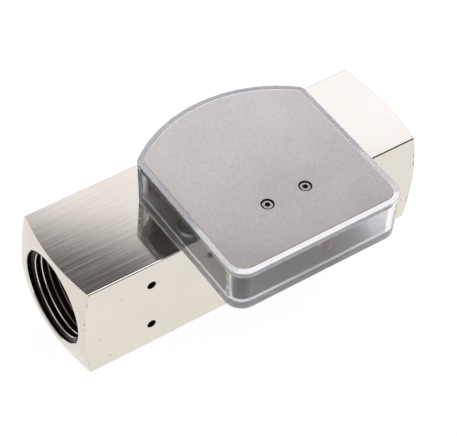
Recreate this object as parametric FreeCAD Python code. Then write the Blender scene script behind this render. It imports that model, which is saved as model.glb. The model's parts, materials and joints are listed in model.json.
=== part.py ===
import FreeCAD, Part
import math
import os

from FreeCAD import Vector

# Variable area flow meter: a spring-loaded piston rides along a fixed metering cone inside a square bar,
# and a magnet in the piston swings a pointer in the clear housing on top.
# Frame: origin at the centre of the body's underside, +X along the flow, +Z up. Sizes are millimetres.

# Threaded ports, the piston's chamber and the seats between them
port_thread_dia = 33.249
port_depth = 18.0
port_lead = 0.4
chamber_dia = 28.0
inlet_shoulder = 1.0
outlet_shoulder = 2.0
seat_length = 11.0

# Flow body, a square bar with turned end chamfers
port_wall = 3.3755
body_edge_round = 0.6
end_face_land = 0.8
end_chamfer_angle = 15.0

# Two tapped holes one above the other in the front face, near the inlet
side_hole_dia = 3.3
side_hole_depth = 6.0
side_hole_spacing = 20.0
side_hole_from_end = 26.0

# Clearances between pieces
press_gap = 0.03
slide_gap = 0.08
seat_gap = 0.3
thread_gap = 0.05
contact_gap = 0.05

# Spiders that carry the metering cone, and the ring that holds the inlet one
spider_thickness = 4.0
spider_rim = 3.5
spider_arm_width = 3.0
spider_arm_count = 3
spider_hub_wall = 3.5
ring_thickness = 1.2
ring_width = 2.0
ring_seat_depth = 0.7
ring_side_gap = 0.05
ring_opening_angle = 40.0
ring_eye_dia = 4.4
ring_eye_hole_dia = 1.6

# Metering cone with its stud and stem
stud_dia = 5.0
stud_end = 1.0
nut_across_flats = 8.0
nut_height = 4.0
cone_land = 4.0
cone_taper_length = 36.0
cone_tip_dia = 8.0
stem_dia = 6.0
stem_end = 1.0

# Piston
piston_length = 30.0
piston_wall = 1.9
piston_groove_width = 0.8
piston_groove_depth = 0.5
piston_groove_pitch = 4.0
piston_groove_count = 3
orifice_disc_width = 4.0
orifice_disc_thickness = 2.0
orifice_gap = 0.25
orifice_bevel = 1.2
orifice_retainer_thickness = 1.5
disc_seat = 2.0
magnet_length = 8.0
magnet_retainer_thickness = 1.3
magnet_retainer_lip = 0.8

# Return spring
spring_wire_dia = 1.5
spring_turns = 5.5
spring_closed_length = 10.8

# Pointer movement: the pivot stands in front of the flow axis, so the pointer lies across the body
pivot_offset = 30.9
pointer_swing = 60.0

# Clear indicator housing: straight front, square sides, and a back that is an arc about the pivot
housing_half_width = 32.9
housing_front = 20.9
housing_arc_r = 49.7
housing_front_corner_r = 6.8
housing_back_corner_r = 3.8
housing_height = 18.0
housing_draft = 0.6
housing_floor = 2.0
housing_rim_wall = 2.0
housing_ledge = 1.0
housing_rim_round = 0.4
housing_foot_round = 0.8
housing_inside_round = 0.3

# Plate on the housing's floor, out to the walls and the scale
floor_plate_thickness = 1.0
floor_plate_gap = 0.3

# Aluminium lid set flush in the housing's rim
lid_thickness = 3.0
lid_gap = 0.12
lid_edge_bevel = 0.15

# Lid screws, and the pillars that they go into
pillar_spacing = 14.6
pillar_dia = 5.0
lid_screw_dia = 2.0
lid_screw_head_dia = 3.8
lid_screw_head_height = 1.8
lid_screw_socket = 1.5
lid_screw_socket_depth = 1.0
lid_screw_floor = 1.0
lid_screw_grip = 4.0
lid_counterbore_gap = 0.4
pillar_screw_head_dia = 3.8
pillar_screw_grip = 4.0
screw_head_bevel = 0.2

# Screws and washers that hold the housing on the body
housing_screw_dia = 4.0
housing_screw_head_dia = 7.0
housing_screw_head_height = 2.6
housing_screw_socket = 2.5
housing_screw_socket_depth = 1.4
housing_screw_grip = 5.0
housing_screw_from_wall = 6.4
housing_screw_offset = 15.0
housing_washer_dia = 9.0
housing_washer_thickness = 0.8

# Pointer spindle and its two bearings
spindle_dia = 2.0
spindle_hub_dia = 4.0
spindle_end_float = 0.1
spindle_running_gap = 0.05
bearing_dia = 4.0
bearing_height = 3.3
bearing_end = 0.8
bearing_boss_wall = 1.0
bearing_floor_depth = 1.0
bearing_lid_cover = 1.2

# Pointer with its follower magnet and balance weight
pointer_lift = 5.0
pointer_thickness = 2.0
pointer_hub_wall = 1.0
pointer_hub_gap = 1.5
pointer_arm_width = 4.4
pointer_tip_width = 3.0
pointer_tail_width = 7.0
pointer_tail_gap = 1.2
pointer_skirt_depth = 5.0
pointer_skirt_thickness = 1.2
pointer_fin_thickness = 1.2
pointer_fin_depth = 3.0
pointer_fin_lid_gap = 1.0
pointer_scale_gap = 0.6
follower_dia = 8.0
follower_height = 4.0
follower_proud = 1.0
follower_wall = 1.5
follower_cap = 0.5
balance_dia = 6.0
balance_height = 2.8
balance_pin_dia = 3.0
balance_skirt_gap = 1.0

# Scale strip that stands in the housing floor, just inside the arc wall
scale_thickness = 0.8
scale_height = 6.5
scale_groove = 0.4
scale_end_gap = 2.0

# Pointer travel: the follower magnet stays over the piston's magnet from end to end
follower_radius = pivot_offset
rest_lean = pointer_swing / 2
piston_travel = 2 * follower_radius * math.sin(math.radians(rest_lean))

# Sizes that follow: a bar wide enough for the port threads, and a chamber long enough for the stroke
body_width = port_thread_dia + 2 * port_wall
chamber_length = seat_gap + piston_length + piston_travel + spring_closed_length + spider_thickness
body_length = chamber_length + 2 * (seat_length + port_depth)

# Places along the flow axis
axis_z = body_width / 2
half_length = body_length / 2
chamber_start = -chamber_length / 2
chamber_end = chamber_length / 2
port_bottom = half_length - port_depth
inlet_spider_face = chamber_start - spider_thickness
outlet_spider_face = chamber_end - spider_thickness
piston_start = chamber_start + seat_gap
piston_end = piston_start + piston_length
disc_start = piston_start + orifice_retainer_thickness
magnet_end = piston_end - magnet_retainer_thickness
magnet_start = magnet_end - magnet_length
cone_taper_start = chamber_start + cone_land
cone_taper_end = cone_taper_start + cone_taper_length

# Radii about the flow axis
port_r = port_thread_dia / 2
chamber_r = chamber_dia / 2
seat_r = chamber_r + inlet_shoulder
outlet_r = chamber_r - outlet_shoulder
ring_seat_r = seat_r + ring_seat_depth
spider_open_r = chamber_r - spider_rim
piston_r = chamber_r - slide_gap
insert_r = piston_r - piston_wall
piston_bore_r = insert_r - disc_seat
orifice_r = insert_r - orifice_disc_width
cone_r = orifice_r - orifice_gap
stud_r = stud_dia / 2
stem_r = stem_dia / 2
spring_r = insert_r

# The pivot stands beside the middle of the magnet's travel
magnet_rest_x = (magnet_start + magnet_end) / 2
pivot = Vector(magnet_rest_x + piston_travel / 2, -pivot_offset, 0)

# Heights in the indicator
housing_z = body_width + contact_gap
floor_z = housing_z + housing_floor
plate_low_z = floor_z + contact_gap
plate_z = plate_low_z + floor_plate_thickness
rim_z = body_width + housing_height
lid_z = rim_z - lid_thickness
ledge_z = lid_z - contact_gap
arm_z = floor_z + pointer_lift
arm_top_z = arm_z + pointer_thickness
lower_bearing_z = floor_z - bearing_floor_depth
boss_z = lower_bearing_z + bearing_height
upper_bearing_top_z = rim_z - bearing_lid_cover
upper_bearing_z = upper_bearing_top_z - bearing_height
lid_screw_seat_z = lid_z + lid_screw_floor
scale_groove_z = floor_z - scale_groove
scale_foot_z = scale_groove_z + contact_gap
scale_top_z = floor_z + scale_height
fin_top_z = ledge_z - pointer_fin_lid_gap

# Inside of the housing at its floor, measured from the pivot
housing_wall = housing_rim_wall + housing_ledge
floor_inset = housing_draft * (rim_z - floor_z) / housing_height + housing_wall
inside_half = housing_half_width - floor_inset
inside_front = housing_front - floor_inset
scale_r = housing_arc_r - floor_inset - seat_gap
scale_inner_r = scale_r - scale_thickness
scale_half_angle = math.degrees(math.asin((inside_half - scale_end_gap) / scale_r))
pointer_end = scale_inner_r - pointer_scale_gap
tail_length = inside_front - pointer_tail_gap
balance_radius = tail_length - pointer_skirt_thickness - balance_skirt_gap - balance_dia / 2
floor_plate_inset = floor_inset + housing_inside_round
floor_plate_r = scale_inner_r - floor_plate_gap

# Places of the screws in plan
housing_screw_x = inside_half - housing_screw_from_wall
pillar_places = [pivot + Vector(side * pillar_spacing / 2, 0, 0) for side in (-1, 1)]
housing_screw_places = [
    Vector(pivot.x + side * housing_screw_x, -housing_screw_offset, 0) for side in (-1, 1)
]


# Shapes that several pieces use

def polygon_face(points):
    """Flat face with straight sides."""
    return Part.Face(Part.makePolygon(points + points[:1]))


def turn_x(profile):
    """Solid turned about the flow axis, from (x, radius) points."""
    face = polygon_face([Vector(x, 0, axis_z + r) for x, r in profile])
    return face.revolve(Vector(0, 0, axis_z), Vector(1, 0, 0), 360)


def turn_z(profile, place):
    """Solid turned about a vertical line through place, from (radius, z) points."""
    face = polygon_face([Vector(place.x + r, place.y, z) for r, z in profile])
    return face.revolve(Vector(place.x, place.y, 0), Vector(0, 0, 1), 360)


def tube_x(start, end, outer, inner):
    """Plain ring along the flow axis."""
    return turn_x([(start, inner), (start, outer), (end, outer), (end, inner)])


def post(place, radius, low, high):
    """Upright cylinder between two heights."""
    return Part.makeCylinder(radius, high - low, Vector(place.x, place.y, low))


def hexagon(place, across_flats, low, high):
    """Upright hexagonal prism."""
    corner_r = across_flats / math.sqrt(3)
    angles = [math.radians(60 * i) for i in range(6)]
    points = [Vector(place.x + corner_r * math.cos(a), place.y + corner_r * math.sin(a), low) for a in angles]
    return polygon_face(points).extrude(Vector(0, 0, high - low))


def around_flow(shape, angle):
    """Copy of a shape turned about the flow axis."""
    copy = shape.copy()
    copy.rotate(Vector(0, 0, axis_z), Vector(1, 0, 0), angle)
    return copy


def flat_edges(shape, z):
    """Edges that lie level at one height."""
    return [e for e in shape.Edges if abs(e.BoundBox.ZMin - z) < 1e-4 and abs(e.BoundBox.ZMax - z) < 1e-4]


# Flow body

def flow_body():
    """Square bar with turned ends, stepped bore and tapped holes."""
    half = body_width / 2
    bar = Part.makeBox(body_length, body_width, body_width, Vector(-half_length, -half, 0))
    long_edges = [e for e in bar.Edges if abs(e.tangentAt(e.FirstParameter).x) > 0.9]
    bar = bar.makeFillet(body_edge_round, long_edges)
    end_r = half - end_face_land
    reach_r = body_width
    run = (reach_r - end_r) * math.tan(math.radians(end_chamfer_angle))
    turned = [(-half_length, 0), (-half_length, end_r), (run - half_length, reach_r)]
    turned += [(-x, r) for x, r in reversed(turned)]
    body = bar.common(turn_x(turned)).cut(flow_bore())
    side_x = side_hole_from_end - half_length
    for z in (axis_z - side_hole_spacing / 2, axis_z + side_hole_spacing / 2):
        mouth = Vector(side_x, -half, z)
        body = body.cut(Part.makeCylinder(side_hole_dia / 2, side_hole_depth, mouth, Vector(0, 1, 0)))
    for place in housing_screw_places:
        hole_r = housing_screw_dia / 2 + thread_gap
        body = body.cut(post(place, hole_r, body_width - housing_screw_grip - seat_gap, body_width))
    return body


def flow_bore():
    """Everything bored out along the flow axis, from the inlet's mouth to the outlet's."""
    lip_r = port_r + port_lead
    groove_end = inlet_spider_face
    groove_start = groove_end - ring_thickness - 2 * ring_side_gap
    profile = [
        (-half_length, 0),
        (-half_length, lip_r),
        (port_lead - half_length, port_r),
        (-port_bottom, port_r),
        (-port_bottom, seat_r),
        (groove_start, seat_r),
        (groove_start, ring_seat_r),
        (groove_end, ring_seat_r),
        (groove_end, seat_r),
        (chamber_start, seat_r),
        (chamber_start, chamber_r),
        (chamber_end, chamber_r),
        (chamber_end, outlet_r),
        (port_bottom, outlet_r),
        (port_bottom, port_r),
        (half_length - port_lead, port_r),
        (half_length, lip_r),
        (half_length, 0),
    ]
    return turn_x(profile)


# Metering cone and what carries it

def spider(start, outer_r, bore_r):
    """Rim, hub and arms that carry the cone and let the flow through."""
    end = start + spider_thickness
    hub_r = bore_r + spider_hub_wall
    rim = tube_x(start, end, outer_r, spider_open_r)
    hub = tube_x(start, end, hub_r, bore_r)
    arm_length = spider_open_r + spider_rim / 2 - (bore_r + hub_r) / 2
    arm = Part.makeBox(spider_thickness, spider_arm_width, arm_length)
    arm.translate(Vector(start, -spider_arm_width / 2, axis_z + (bore_r + hub_r) / 2))
    arms = [around_flow(arm, 360 * i / spider_arm_count) for i in range(spider_arm_count)]
    return rim.multiFuse([hub] + arms).removeSplitter()


def inlet_spider():
    """Spider against the inlet shoulder, clamped to the cone's stud."""
    return spider(inlet_spider_face, seat_r - press_gap, stud_r + thread_gap)


def outlet_spider():
    """Spider against the outlet shoulder: it steadies the stem and takes the spring."""
    return spider(outlet_spider_face, chamber_r - press_gap, stem_r + press_gap)


def inlet_retaining_ring():
    """Internal circlip with two eyes beside its opening."""
    end = inlet_spider_face - ring_side_gap
    start = end - ring_thickness
    outer_r = ring_seat_r - press_gap
    inner_r = outer_r - ring_width
    section = [Vector(x, 0, axis_z + r) for x, r in
               ((start, inner_r), (start, outer_r), (end, outer_r), (end, inner_r))]
    band = polygon_face(section).revolve(Vector(0, 0, axis_z), Vector(1, 0, 0), 360 - ring_opening_angle)
    eye_place = Vector(start, 0, axis_z + inner_r)
    eye = Part.makeCylinder(ring_eye_dia / 2, ring_thickness, eye_place, Vector(1, 0, 0))
    hole = Part.makeCylinder(ring_eye_hole_dia / 2, ring_thickness, eye_place, Vector(1, 0, 0))
    inside = tube_x(start, end, (inner_r + outer_r) / 2, inner_r - ring_eye_dia)
    ring = band
    for angle in (0, 360 - ring_opening_angle):
        ring = ring.fuse(around_flow(eye.common(inside), angle))
    for angle in (0, 360 - ring_opening_angle):
        ring = ring.cut(around_flow(hole, angle))
    return around_flow(ring.removeSplitter(), 180 + ring_opening_angle / 2)


def metering_cone():
    """Stud, land, taper and stem in one turned piece."""
    stud_start = inlet_spider_face - nut_height - stud_end
    profile = [
        (stud_start, 0),
        (stud_start, stud_r),
        (chamber_start, stud_r),
        (chamber_start, cone_r),
        (cone_taper_start, cone_r),
        (cone_taper_end, cone_tip_dia / 2),
        (cone_taper_end, stem_r),
        (chamber_end + stem_end, stem_r),
        (chamber_end + stem_end, 0),
    ]
    return turn_x(profile)


def cone_nut():
    """Hexagon nut on the stud, chamfered on the outside."""
    start = inlet_spider_face - nut_height
    flat_r = nut_across_flats / 2
    corner_r = nut_across_flats / math.sqrt(3)
    angles = [math.radians(60 * i) for i in range(6)]
    points = [Vector(start, corner_r * math.cos(a), axis_z + corner_r * math.sin(a)) for a in angles]
    nut = polygon_face(points).extrude(Vector(nut_height, 0, 0))
    bevel = corner_r - flat_r
    turned = [(start, stud_r + thread_gap), (start, flat_r), (start + bevel, corner_r),
              (inlet_spider_face, corner_r), (inlet_spider_face, stud_r + thread_gap)]
    return nut.common(turn_x(turned))


# Piston

def piston_sleeve():
    """Sleeve with a seat for the orifice disc, a seat for the magnet, and balancing grooves."""
    seat_r_in = insert_r + press_gap
    disc_end = disc_start + orifice_disc_thickness
    outline = [(piston_start, seat_r_in), (piston_start, piston_r)]
    first = (piston_start + magnet_start) / 2 - (piston_groove_count - 1) * piston_groove_pitch / 2
    for i in range(piston_groove_count):
        left = first + i * piston_groove_pitch - piston_groove_width / 2
        right = left + piston_groove_width
        floor_r = piston_r - piston_groove_depth
        outline += [(left, piston_r), (left, floor_r), (right, floor_r), (right, piston_r)]
    outline += [(piston_end, piston_r), (piston_end, seat_r_in), (magnet_start, seat_r_in)]
    outline += [(magnet_start, piston_bore_r), (disc_end, piston_bore_r), (disc_end, seat_r_in)]
    return turn_x(outline)


def orifice_disc():
    """Sharp-edged disc that rides along the cone."""
    end = disc_start + orifice_disc_thickness
    bevel_r = orifice_r + orifice_bevel
    profile = [(disc_start, orifice_r), (disc_start, insert_r), (end, insert_r), (end, bevel_r)]
    return turn_x(profile)


def orifice_retainer():
    """Ring pressed in upstream of the disc."""
    return tube_x(piston_start, disc_start, insert_r, piston_bore_r)


def transfer_magnet():
    """Ring magnet in the piston's downstream end."""
    return tube_x(magnet_start, magnet_end, insert_r, piston_bore_r)


def magnet_retainer():
    """Ring that holds the magnet, and the spring's seat."""
    return tube_x(magnet_end, piston_end, insert_r, piston_bore_r - magnet_retainer_lip)


def return_spring():
    """Compression spring between the piston and the outlet spider."""
    wire_r = spring_wire_dia / 2
    start = piston_end + wire_r + seat_gap
    length = outlet_spider_face - wire_r - press_gap - start
    helix = Part.makeHelix(length / spring_turns, length, spring_r)
    section = Part.Wire(Part.makeCircle(wire_r, Vector(spring_r, 0, 0), Vector(0, 1, 0)))
    spring = Part.Wire(helix).makePipeShell([section], True, True)
    spring.rotate(Vector(0, 0, 0), Vector(0, 1, 0), 90)
    spring.translate(Vector(start, 0, axis_z))
    return spring


# Indicator housing and lid

def housing_outline(inset, z):
    """Closed outline at one height, drawn in from the rim's outer edge by inset."""
    half = housing_half_width - inset
    arc_r = housing_arc_r - inset
    front = inset - housing_front
    front_r = housing_front_corner_r - inset
    back_r = housing_back_corner_r - min(inset, housing_rim_wall)
    front_x = half - front_r
    back_x = half - back_r
    back_y = math.sqrt((arc_r - back_r) ** 2 - back_x ** 2)
    back_angle = math.atan2(back_y, back_x)

    def at(x, y):
        return Vector(pivot.x + x, pivot.y + y, z)

    def on_circle(cx, cy, r, angle):
        return at(cx + r * math.cos(angle), cy + r * math.sin(angle))

    def arc(cx, cy, r, start, end):
        middle = (start + end) / 2
        return Part.Arc(*(on_circle(cx, cy, r, a) for a in (start, middle, end))).toShape()

    def line(a, b):
        return Part.LineSegment(a, b).toShape()

    quarter = math.pi / 2
    front_y = front + front_r
    edges = [
        line(at(-front_x, front), at(front_x, front)),
        arc(front_x, front_y, front_r, -quarter, 0),
        line(at(half, front_y), at(half, back_y)),
        arc(back_x, back_y, back_r, 0, back_angle),
        arc(0, 0, arc_r, back_angle, math.pi - back_angle),
        arc(-back_x, back_y, back_r, math.pi - back_angle, math.pi),
        line(at(-half, back_y), at(-half, front_y)),
        arc(-front_x, front_y, front_r, math.pi, 3 * quarter),
    ]
    return Part.Wire(edges)


def draft_at(z):
    """How far the drafted wall has drawn in at a height."""
    return housing_draft * (rim_z - z) / housing_height


def housing_block(inset, low, high):
    """Solid with drafted sides between two heights."""
    ends = [housing_outline(inset + draft_at(z), z) for z in (low, high)]
    return Part.makeLoft(ends, True, True)


def straight_block(inset, low, high):
    """Solid with upright sides between two heights."""
    return Part.Face(housing_outline(inset, low)).extrude(Vector(0, 0, high - low))


def indicator_housing():
    """Clear tray: drafted walls, a rim with a ledge for the lid, and a boss for the spindle's bearing."""
    outer = housing_block(0, housing_z, rim_z)
    outer = outer.makeFillet(housing_rim_round, flat_edges(outer, rim_z))
    outer = outer.makeFillet(housing_foot_round, flat_edges(outer, housing_z))
    inside = housing_block(housing_wall, floor_z, ledge_z)
    tray = outer.cut(inside.makeFillet(housing_inside_round, flat_edges(inside, floor_z)))
    tray = tray.cut(straight_block(housing_rim_wall, ledge_z, rim_z))
    tray = tray.fuse(post(pivot, bearing_dia / 2 + bearing_boss_wall, floor_z, boss_z))
    tray = tray.cut(post(pivot, bearing_dia / 2 + press_gap, lower_bearing_z, boss_z))
    tray = tray.cut(scale_band(press_gap, scale_groove_z, floor_z + housing_inside_round))
    for place in pillar_places:
        tray = tray.cut(pillar_screw_space(place))
    for place in housing_screw_places:
        tray = tray.cut(post(place, housing_screw_dia / 2 + seat_gap, housing_z, floor_z))
    return tray


def pillar_screw_space(place):
    """Countersunk hole up through the floor, flush underneath."""
    head_r = pillar_screw_head_dia / 2 + thread_gap
    shank_r = lid_screw_dia / 2 + thread_gap
    taper_z = housing_z + head_r - shank_r
    profile = [(0, housing_z), (head_r, housing_z), (shank_r, taper_z), (shank_r, floor_z), (0, floor_z)]
    return turn_z(profile, place)


def floor_plate():
    """Plate behind the pointer, clamped by the pillars and the housing's screws."""
    plate = straight_block(floor_plate_inset, plate_low_z, plate_z)
    plate = plate.common(post(pivot, floor_plate_r, plate_low_z, plate_z))
    boss_r = bearing_dia / 2 + bearing_boss_wall
    plate = plate.cut(post(pivot, boss_r + floor_plate_gap, plate_low_z, plate_z))
    for place in pillar_places:
        plate = plate.cut(post(place, lid_screw_dia / 2 + thread_gap, plate_low_z, plate_z))
    for place in housing_screw_places:
        plate = plate.cut(post(place, housing_screw_dia / 2 + seat_gap, plate_low_z, plate_z))
    return plate


def lid_plate():
    """Lid with two counterbored holes, and a blind seat underneath for the upper bearing."""
    lid = straight_block(housing_rim_wall + lid_gap, lid_z, rim_z)
    lid = lid.makeChamfer(lid_edge_bevel, flat_edges(lid, rim_z))
    for place in pillar_places:
        lid = lid.cut(post(place, lid_screw_dia / 2 + thread_gap, lid_z, rim_z))
        lid = lid.cut(post(place, lid_screw_head_dia / 2 + lid_counterbore_gap, lid_screw_seat_z, rim_z))
    return lid.cut(post(pivot, bearing_dia / 2 + press_gap, lid_z, upper_bearing_top_z))


def socket_screw(place, seat_z, head_dia, head_height, shank_dia, length, socket, socket_depth):
    """Cap screw with a hexagon socket, standing on seat_z."""
    head_z = seat_z + head_height
    tip_z = seat_z - length
    head_r = head_dia / 2
    shank_r = shank_dia / 2
    bevel_r = head_r - screw_head_bevel
    bevel_z = head_z - screw_head_bevel
    profile = [(0, tip_z), (shank_r, tip_z), (shank_r, seat_z), (head_r, seat_z), (head_r, bevel_z),
               (bevel_r, head_z), (0, head_z)]
    return turn_z(profile, place).cut(hexagon(place, socket, head_z - socket_depth, head_z))


def lid_screws():
    """The two screws seen on the lid, one each side of the pivot."""
    length = lid_screw_floor + lid_screw_grip
    return [socket_screw(place, lid_screw_seat_z, lid_screw_head_dia, lid_screw_head_height, lid_screw_dia,
                         length, lid_screw_socket, lid_screw_socket_depth) for place in pillar_places]


def lid_pillars():
    """Pillars tapped right through, between the floor plate and the lid."""
    tapped_r = lid_screw_dia / 2 + thread_gap
    profile = [(tapped_r, plate_z), (pillar_dia / 2, plate_z), (pillar_dia / 2, lid_z), (tapped_r, lid_z)]
    return [turn_z(profile, place) for place in pillar_places]


def pillar_screws():
    """Countersunk screws that come up through the floor."""
    head_r = pillar_screw_head_dia / 2
    shank_r = lid_screw_dia / 2
    taper_z = housing_z + head_r - shank_r
    tip_z = plate_z + pillar_screw_grip
    profile = [(0, housing_z), (head_r, housing_z), (shank_r, taper_z), (shank_r, tip_z), (0, tip_z)]
    slot_width = shank_r / 2
    screws = []
    for place in pillar_places:
        slot = Part.makeBox(2 * head_r, slot_width, slot_width)
        slot.translate(Vector(place.x - head_r, place.y - slot_width / 2, housing_z))
        screws.append(turn_z(profile, place).cut(slot))
    return screws


def housing_screws():
    """Screws down through the floor into the body."""
    seat_z = plate_z + housing_washer_thickness
    length = seat_z - body_width + housing_screw_grip
    return [socket_screw(place, seat_z, housing_screw_head_dia, housing_screw_head_height, housing_screw_dia,
                         length, housing_screw_socket, housing_screw_socket_depth)
            for place in housing_screw_places]


def housing_washers():
    """Washers under the heads of the housing's screws."""
    hole_r = housing_screw_dia / 2 + seat_gap / 2
    edge_r = housing_washer_dia / 2
    top_z = plate_z + housing_washer_thickness
    profile = [(hole_r, plate_z), (edge_r, plate_z), (edge_r, top_z), (hole_r, top_z)]
    return [turn_z(profile, place) for place in housing_screw_places]


# Pointer movement

def bearing_cup(closed_z, open_z):
    """Bearing bush, closed at one end."""
    bore_r = spindle_dia / 2 + spindle_running_gap
    inner_z = closed_z + math.copysign(bearing_end, open_z - closed_z)
    profile = [(0, closed_z), (bearing_dia / 2, closed_z), (bearing_dia / 2, open_z),
               (bore_r, open_z), (bore_r, inner_z), (0, inner_z)]
    return turn_z(profile, pivot)


def lower_bearing():
    """Bearing in the floor's boss."""
    return bearing_cup(lower_bearing_z, boss_z)


def upper_bearing():
    """Bearing in the lid's blind seat."""
    return bearing_cup(upper_bearing_top_z, upper_bearing_z)


def pointer_spindle():
    """Spindle with a thicker middle, which the pointer's hub sits on."""
    tip_r = spindle_dia / 2
    hub_r = spindle_hub_dia / 2
    foot_z = lower_bearing_z + bearing_end + spindle_end_float
    head_z = upper_bearing_top_z - bearing_end - spindle_end_float
    low_z = boss_z + seat_gap
    high_z = upper_bearing_z - seat_gap
    profile = [(0, foot_z), (tip_r, foot_z), (tip_r, low_z), (hub_r, low_z), (hub_r, high_z),
               (tip_r, high_z), (tip_r, head_z), (0, head_z)]
    return turn_z(profile, pivot)


def scale_band(gap, low, high):
    """Upright band that follows the arc wall, larger all round by gap."""
    inner_r = scale_inner_r - gap
    outer_r = scale_r + gap
    half_angle = scale_half_angle + math.degrees(gap / scale_r)
    start = math.radians(90 - half_angle)
    section = [Vector(pivot.x + r * math.cos(start), pivot.y + r * math.sin(start), z)
               for r, z in ((inner_r, low), (outer_r, low), (outer_r, high), (inner_r, high))]
    return polygon_face(section).revolve(Vector(pivot.x, pivot.y, 0), Vector(0, 0, 1), 2 * half_angle)


def scale_strip():
    """Scale carrier, read from behind through the arc wall."""
    return scale_band(0, scale_foot_z, scale_top_z)


def leaned(shape):
    """Shape drawn along +Y from the pivot, turned to where the pointer rests."""
    shape.rotate(pivot, Vector(0, 0, 1), rest_lean)
    return shape


def pointer():
    """Arm with a hub, a magnet pocket, a skirted tail, and a fin that reads over the scale."""
    half_arm = pointer_arm_width / 2
    half_tip = pointer_tip_width / 2
    half_tail = pointer_tail_width / 2
    plan = [(half_arm, 0), (half_tip, pointer_end), (-half_tip, pointer_end), (-half_arm, 0),
            (-half_tail, -tail_length), (half_tail, -tail_length)]
    blade = polygon_face([pivot + Vector(x, y, arm_z) for x, y in plan])
    blade = blade.extrude(Vector(0, 0, pointer_thickness))
    skirt = Part.makeBox(pointer_tail_width, pointer_skirt_thickness, pointer_skirt_depth)
    skirt.translate(pivot + Vector(-half_tail, -tail_length, arm_top_z - pointer_skirt_depth))
    hub_top_z = upper_bearing_z - pointer_hub_gap
    bore_r = spindle_hub_dia / 2 + press_gap
    hub = post(pivot, bore_r + pointer_hub_wall, arm_z, hub_top_z)
    pocket_place = pivot + Vector(0, follower_radius, 0)
    pocket_top_z = arm_top_z - follower_cap
    pocket_z = pocket_top_z - follower_height + follower_proud
    pocket_r = follower_dia / 2 + press_gap
    pocket = post(pocket_place, pocket_r + follower_wall, pocket_z, arm_top_z)
    arm = blade.multiFuse([skirt, hub, pocket, pointer_fin()])
    arm = arm.cut(post(pocket_place, pocket_r, pocket_z, pocket_top_z))
    arm = arm.cut(post(pivot, bore_r, arm_z, hub_top_z))
    balance_place = pivot - Vector(0, balance_radius, 0)
    arm = arm.cut(post(balance_place, balance_pin_dia / 2 + press_gap, arm_z, arm_top_z))
    return leaned(arm.removeSplitter())


def pointer_fin():
    """Upright blade at the arm's end, which steps out over the scale's upper edge."""
    root = pointer_end - pointer_fin_depth
    step_z = scale_top_z + pointer_scale_gap
    outline = [(root, arm_z), (pointer_end, arm_z), (pointer_end, step_z), (scale_r, step_z),
               (scale_r, fin_top_z), (pointer_end - pointer_fin_depth / 2, fin_top_z), (root, arm_top_z)]
    left = pivot - Vector(pointer_fin_thickness / 2, 0, 0)
    fin = polygon_face([left + Vector(0, y, z) for y, z in outline])
    return fin.extrude(Vector(pointer_fin_thickness, 0, 0))


def follower_magnet():
    """Disc magnet in the arm's pocket, over the piston's magnet."""
    top_z = arm_top_z - follower_cap
    place = pivot + Vector(0, follower_radius, 0)
    return leaned(post(place, follower_dia / 2, top_z - follower_height, top_z))


def balance_weight():
    """Weight under the tail, riveted up through it."""
    place = pivot - Vector(0, balance_radius, 0)
    weight_r = balance_dia / 2
    pin_r = balance_pin_dia / 2
    low_z = arm_z - balance_height
    profile = [(0, low_z), (weight_r, low_z), (weight_r, arm_z), (pin_r, arm_z),
               (pin_r, arm_top_z), (0, arm_top_z)]
    return leaned(turn_z(profile, place))


# Every piece, each in its own file

PIECES = [
    flow_body, inlet_spider, inlet_retaining_ring, cone_nut, metering_cone, outlet_spider,
    piston_sleeve, orifice_disc, orifice_retainer, transfer_magnet, magnet_retainer, return_spring,
    indicator_housing, floor_plate, housing_screws, housing_washers, lid_plate, lid_screws, lid_pillars,
    pillar_screws,
    lower_bearing, upper_bearing, pointer_spindle, pointer, follower_magnet, balance_weight, scale_strip,
]

os.makedirs("parts", exist_ok=True)
for make in PIECES:
    made = make()
    shape = Part.makeCompound(made) if isinstance(made, list) else made
    shape.exportStep("parts/" + make.__name__ + ".step")
    print(make.__name__, shape.isValid(), len(shape.Solids), round(shape.Volume, 2))
print("travel", round(piston_travel, 4), "pivot", round(pivot.x, 4), round(pivot.y, 4))
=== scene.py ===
import json
import math

import bmesh
import bpy
from bpy.props import FloatProperty, FloatVectorProperty, IntProperty, PointerProperty
from mathutils import Matrix, Vector


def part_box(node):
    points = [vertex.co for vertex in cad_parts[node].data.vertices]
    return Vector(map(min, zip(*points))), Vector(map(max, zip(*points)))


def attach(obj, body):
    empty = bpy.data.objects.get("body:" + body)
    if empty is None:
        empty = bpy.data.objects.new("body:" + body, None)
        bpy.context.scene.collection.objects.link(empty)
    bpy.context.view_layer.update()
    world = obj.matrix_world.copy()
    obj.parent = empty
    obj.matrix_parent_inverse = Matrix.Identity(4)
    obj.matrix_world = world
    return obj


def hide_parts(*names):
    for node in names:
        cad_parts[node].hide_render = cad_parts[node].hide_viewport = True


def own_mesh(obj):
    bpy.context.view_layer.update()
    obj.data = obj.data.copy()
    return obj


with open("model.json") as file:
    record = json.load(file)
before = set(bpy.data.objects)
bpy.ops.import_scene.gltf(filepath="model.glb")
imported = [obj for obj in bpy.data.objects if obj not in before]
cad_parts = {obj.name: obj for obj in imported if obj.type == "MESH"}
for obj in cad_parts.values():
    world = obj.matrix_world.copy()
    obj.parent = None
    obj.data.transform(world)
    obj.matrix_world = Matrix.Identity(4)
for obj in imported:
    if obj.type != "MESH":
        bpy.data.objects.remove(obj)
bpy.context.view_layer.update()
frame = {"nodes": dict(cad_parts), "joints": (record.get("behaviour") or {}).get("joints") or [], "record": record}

bl_info = {
    "name": "Variable Area Flow Meter",
    "version": (1, 0, 0),
    "blender": (4, 5, 0),
    "location": "View3D > Sidebar > Flow Meter",
    "description": "Dresses the packed flow meter: finishes, port threads, screws, spring, scale and studio",
    "category": "Object",
}

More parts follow.
